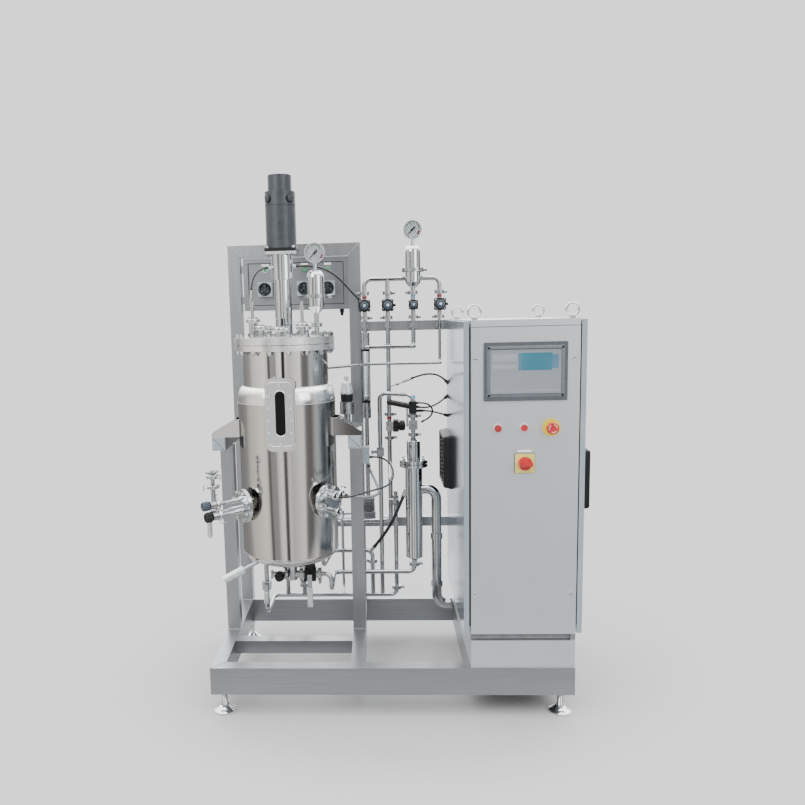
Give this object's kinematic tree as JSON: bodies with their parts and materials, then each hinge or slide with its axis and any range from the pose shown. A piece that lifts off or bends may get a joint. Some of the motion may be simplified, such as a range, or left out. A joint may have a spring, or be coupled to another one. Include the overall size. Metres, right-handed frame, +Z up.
{
  "type": "skid-mounted bioreactor",
  "caption": "Pilot bioreactor on a steel skid: jacketed stirred vessel, steam and air pipework, dosing pump box and control cabinet with touch panel.",
  "frame": {"origin": "bottom centre of everything but the free cables and hoses, on the floor", "axes": "+Z up, +X to the operator's right, +Y away from the operator"},
  "size_m": [1.3618, 0.822, 1.925],
  "materials": {
    "base_frame": "satin stainless steel",
    "levelling_feet": "satin stainless steel",
    "upright_frame": "brushed stainless tube",
    "vessel_shell": "polished stainless steel",
    "jacket_shell": "polished stainless steel",
    "vessel_fittings": "polished stainless steel",
    "lid": "polished stainless steel",
    "vessel_bolts": "satin stainless steel",
    "sight_glass_frame": "polished stainless steel",
    "sight_glass_pane": "dark sight glass",
    "motor_lantern": "polished stainless steel",
    "motor": "dark slate satin paint",
    "agitator": "polished stainless steel",
    "upper_pipes": "polished stainless steel",
    "process_housings": "polished stainless steel",
    "gauge_cases": "polished stainless steel",
    "gauge_pointer_1": "black pointer",
    "pipe_clamps": "polished stainless steel",
    "valve_bodies": "polished stainless steel",
    "valve_actuators": "black plastic actuators",
    "rotameter_tube": "clear tube",
    "rotameter_float": "turned steel",
    "heater_valve_lever": "black handle",
    "lower_pipes": "polished stainless steel",
    "drain_valve_lever": "satin stainless steel",
    "circulation_pump": "dark grey casting",
    "harvest_valve_lever": "satin stainless steel",
    "gauge_pointer_2": "black pointer",
    "inoculation_valve_knob": "blue-grey knob",
    "sample_valve_knob": "black knob",
    "steam_valve_lever": "satin stainless steel",
    "pump_box": "satin stainless steel",
    "green_button_1": "green button",
    "pump_rotor_1": "steel roller rotor",
    "green_button_2": "green button",
    "pump_rotor_2": "steel roller rotor",
    "green_button_3": "green button",
    "pump_rotor_3": "steel roller rotor",
    "cabinet_shell": "satin stainless steel",
    "lifting_eyes": "plated eye bolts",
    "side_panels": "polished side panels",
    "fan_filters": "black louvred filters",
    "mounting_plate": "galvanised plate with control gear",
    "cabinet_door": "satin stainless steel",
    "operator_panel": "dark touch panel",
    "switch_escutcheons": "yellow plates and red lamp",
    "emergency_stop_head": "red mushroom head",
    "push_button": "red button",
    "main_switch_knob": "red rotary handle",
    "door_lock_upper": "plated lock",
    "door_lock_lower": "plated lock",
    "valve_air_hose": "black hose",
    "lid_cable": "black cable",
    "cabinet_cable_1": "black cable",
    "cabinet_cable_2": "black cable",
    "cabinet_cable_3": "black cable",
    "cabinet_cable_4": "black cable",
    "port_hose": "grey hose",
    "port_cable": "black cable",
    "drain_hose": "black hose"
  },
  "bodies": {
    "skid": {"base_frame": "base_frame", "levelling_feet": "levelling_feet", "upright_frame": "upright_frame", "vessel_shell": "vessel_shell", "jacket_shell": "jacket_shell", "vessel_fittings": "vessel_fittings", "lid": "lid", "vessel_bolts": "vessel_bolts", "sight_glass_frame": "sight_glass_frame", "sight_glass_pane": "sight_glass_pane", "motor_lantern": "motor_lantern", "motor": "motor", "upper_pipes": "upper_pipes", "process_housings": "process_housings", "gauge_cases": "gauge_cases", "pipe_clamps": "pipe_clamps", "valve_bodies": "valve_bodies", "valve_actuators": "valve_actuators", "rotameter_tube": "rotameter_tube", "lower_pipes": "lower_pipes", "circulation_pump": "circulation_pump", "pump_box": "pump_box", "cabinet_shell": "cabinet_shell", "lifting_eyes": "lifting_eyes", "side_panels": "side_panels", "fan_filters": "fan_filters", "mounting_plate": "mounting_plate", "valve_air_hose": "valve_air_hose", "lid_cable": "lid_cable", "cabinet_cable_1": "cabinet_cable_1", "cabinet_cable_2": "cabinet_cable_2", "cabinet_cable_3": "cabinet_cable_3", "cabinet_cable_4": "cabinet_cable_4", "port_hose": "port_hose", "port_cable": "port_cable", "drain_hose": "drain_hose"},
    "agitator": {"agitator": "agitator"},
    "door": {"cabinet_door": "cabinet_door", "operator_panel": "operator_panel", "switch_escutcheons": "switch_escutcheons"},
    "upper_lock": {"door_lock_upper": "door_lock_upper"},
    "lower_lock": {"door_lock_lower": "door_lock_lower"},
    "start_button": {"push_button": "push_button"},
    "stop_head": {"emergency_stop_head": "emergency_stop_head"},
    "main_switch": {"main_switch_knob": "main_switch_knob"},
    "pressure_pointer": {"gauge_pointer_1": "gauge_pointer_1"},
    "lid_pressure_pointer": {"gauge_pointer_2": "gauge_pointer_2"},
    "flow_float": {"rotameter_float": "rotameter_float"},
    "sample_knob": {"sample_valve_knob": "sample_valve_knob"},
    "inoculation_knob": {"inoculation_valve_knob": "inoculation_valve_knob"},
    "steam_lever": {"steam_valve_lever": "steam_valve_lever"},
    "drain_lever": {"drain_valve_lever": "drain_valve_lever"},
    "harvest_lever": {"harvest_valve_lever": "harvest_valve_lever"},
    "heater_lever": {"heater_valve_lever": "heater_valve_lever"},
    "pump_1_button": {"green_button_1": "green_button_1"},
    "pump_1_rotor": {"pump_rotor_1": "pump_rotor_1"},
    "pump_2_button": {"green_button_2": "green_button_2"},
    "pump_2_rotor": {"pump_rotor_2": "pump_rotor_2"},
    "pump_3_button": {"green_button_3": "green_button_3"},
    "pump_3_rotor": {"pump_rotor_3": "pump_rotor_3"}
  },
  "joints": [
    {"name": "agitator_spin", "type": "hinge", "parent": "skid", "child": "agitator", "pos_m": [-0.3896, -0.134, 1], "axis": [0, 0, 1], "continuous": true},
    {"name": "door_swing", "type": "hinge", "parent": "skid", "child": "door", "pos_m": [0.6169, -0.373, 0.85], "axis": [0, 0, 1], "range_deg": [0, 120]},
    {"name": "upper_lock_turn", "type": "hinge", "parent": "door", "child": "upper_lock", "pos_m": [0.2769, -0.379, 1.266], "axis": [0, -1, 0], "range_deg": [0, 90]},
    {"name": "lower_lock_turn", "type": "hinge", "parent": "door", "child": "lower_lock", "pos_m": [0.2769, -0.379, 0.449], "axis": [0, -1, 0], "range_deg": [0, 90]},
    {"name": "start_button_press", "type": "slide", "parent": "door", "child": "start_button", "axis": [0, 1, 0], "range_m": [0, 0.004], "stiffness_N_per_m": 400},
    {"name": "emergency_stop_press", "type": "slide", "parent": "door", "child": "stop_head", "axis": [0, 1, 0], "range_m": [0, 0.005]},
    {"name": "main_switch_turn", "type": "hinge", "parent": "door", "child": "main_switch", "pos_m": [0.4429, -0.379, 0.912], "axis": [0, 1, 0], "range_deg": [0, 90]},
    {"name": "gauge_pointer_turn", "type": "hinge", "parent": "skid", "child": "pressure_pointer", "pos_m": [0.1029, 0.226, 1.762], "axis": [0, 1, 0], "range_deg": [0, 270]},
    {"name": "lid_gauge_pointer_turn", "type": "hinge", "parent": "skid", "child": "lid_pressure_pointer", "pos_m": [-0.2696, -0.134, 1.649], "axis": [0, 1, 0], "range_deg": [0, 270]},
    {"name": "flow_float_rise", "type": "slide", "parent": "skid", "child": "flow_float", "axis": [0, 0, 1], "range_m": [0, 0.18]},
    {"name": "inoculation_valve_turn", "type": "hinge", "parent": "skid", "child": "inoculation_knob", "pos_m": [-0.64546, -0.34869, 0.769], "axis": [-0.766, -0.6428, 0], "range_deg": [0, 360]},
    {"name": "sample_valve_turn", "type": "hinge", "parent": "skid", "child": "sample_knob", "pos_m": [-0.6321, -0.36461, 0.733], "axis": [-0.766, -0.6428, 0], "range_deg": [0, 360]},
    {"name": "steam_valve_turn", "type": "hinge", "parent": "skid", "child": "steam_lever", "pos_m": [-0.6435, -0.31992, 0.733], "axis": [0.766, 0.6428, 0], "range_deg": [0, 90]},
    {"name": "drain_valve_turn", "type": "hinge", "parent": "skid", "child": "drain_lever", "pos_m": [-0.5021, -0.07, 0.369], "axis": [0, -1, 0], "range_deg": [0, 90]},
    {"name": "harvest_valve_turn", "type": "hinge", "parent": "skid", "child": "harvest_lever", "pos_m": [-0.3196, -0.156, 0.44], "axis": [0, -1, 0], "range_deg": [0, 90]},
    {"name": "heater_valve_turn", "type": "hinge", "parent": "skid", "child": "heater_lever", "pos_m": [0.0729, 0.066, 0.985], "axis": [1, 0, 0], "range_deg": [0, 90]},
    {"name": "pump_1_button_press", "type": "slide", "parent": "skid", "child": "pump_1_button", "axis": [0, 1, 0], "range_m": [0, 0.0025], "stiffness_N_per_m": 300},
    {"name": "pump_1_rotor_spin", "type": "hinge", "parent": "skid", "child": "pump_1_rotor", "pos_m": [-0.5111, 0.254, 1.538], "axis": [0, 1, 0], "continuous": true},
    {"name": "pump_2_button_press", "type": "slide", "parent": "skid", "child": "pump_2_button", "axis": [0, 1, 0], "range_m": [0, 0.0025], "stiffness_N_per_m": 300},
    {"name": "pump_2_rotor_spin", "type": "hinge", "parent": "skid", "child": "pump_2_rotor", "pos_m": [-0.3461, 0.254, 1.538], "axis": [0, 1, 0], "continuous": true},
    {"name": "pump_3_button_press", "type": "slide", "parent": "skid", "child": "pump_3_button", "axis": [0, 1, 0], "range_m": [0, 0.0025], "stiffness_N_per_m": 300},
    {"name": "pump_3_rotor_spin", "type": "hinge", "parent": "skid", "child": "pump_3_rotor", "pos_m": [-0.2491, 0.254, 1.538], "axis": [0, 1, 0], "continuous": true}
  ]
}
